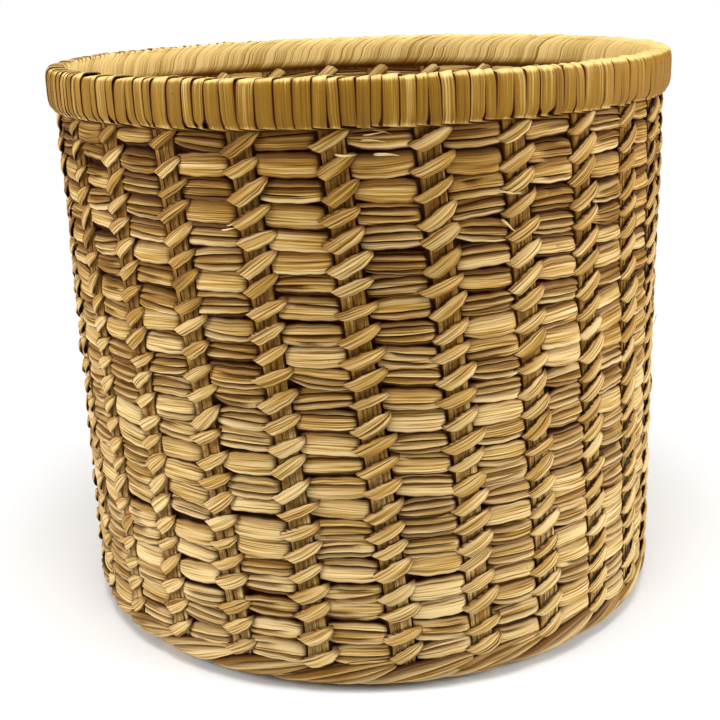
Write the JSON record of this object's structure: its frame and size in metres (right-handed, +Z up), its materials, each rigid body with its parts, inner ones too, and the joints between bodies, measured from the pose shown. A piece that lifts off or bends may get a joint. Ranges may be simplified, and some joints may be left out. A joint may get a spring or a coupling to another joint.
{
  "type": "woven basket",
  "caption": "Round open basket of twined rush: leaning stakes, close rounds of twining, a twisted heel, a flat woven floor and a strip-wrapped rim.",
  "frame": {"origin": "centre of the underside, in the plane that the basket stands on", "axes": "+Z up along the basket's axis, -Y towards the side that faces the camera, +X to the camera's right"},
  "size_m": [0.2696, 0.2696, 0.2405],
  "materials": {
    "weft_rush": "dried rush, satin, straw to olive brown",
    "stake_rush": "dried rush stems, matt, honey brown",
    "rim_rush": "split rush strip, satin, pale straw"
  },
  "bodies": {
    "root": {"stake_01": "stake_rush", "stake_02": "stake_rush", "stake_03": "stake_rush", "stake_04": "stake_rush", "stake_05": "stake_rush", "stake_06": "stake_rush", "stake_07": "stake_rush", "stake_08": "stake_rush", "stake_09": "stake_rush", "stake_10": "stake_rush", "stake_11": "stake_rush", "stake_12": "stake_rush", "stake_13": "stake_rush", "stake_14": "stake_rush", "stake_15": "stake_rush", "stake_16": "stake_rush", "stake_17": "stake_rush", "stake_18": "stake_rush", "stake_19": "stake_rush", "stake_20": "stake_rush", "stake_21": "stake_rush", "stake_22": "stake_rush", "stake_23": "stake_rush", "stake_24": "stake_rush", "stake_25": "stake_rush", "stake_26": "stake_rush", "weft_course_01": "weft_rush", "weft_course_02": "weft_rush", "weft_course_03": "weft_rush", "weft_course_04": "weft_rush", "weft_course_05": "weft_rush", "weft_course_06": "weft_rush", "weft_course_07": "weft_rush", "weft_course_08": "weft_rush", "weft_course_09": "weft_rush", "weft_course_10": "weft_rush", "weft_course_11": "weft_rush", "weft_course_12": "weft_rush", "weft_course_13": "weft_rush", "weft_course_14": "weft_rush", "weft_course_15": "weft_rush", "weft_course_16": "weft_rush", "weft_course_17": "weft_rush", "weft_course_18": "weft_rush", "weft_course_19": "weft_rush", "weft_course_20": "weft_rush", "weft_course_21": "weft_rush", "weft_course_22": "weft_rush", "weft_course_23": "weft_rush", "weft_course_24": "weft_rush", "heel_twist": "weft_rush", "heel_inner_strand": "weft_rush", "floor_lower_weft": "weft_rush", "floor_upper_weft": "weft_rush", "floor_start": "stake_rush", "rim_core": "stake_rush", "rim_wrap": "rim_rush"}
  },
  "joints": []
}
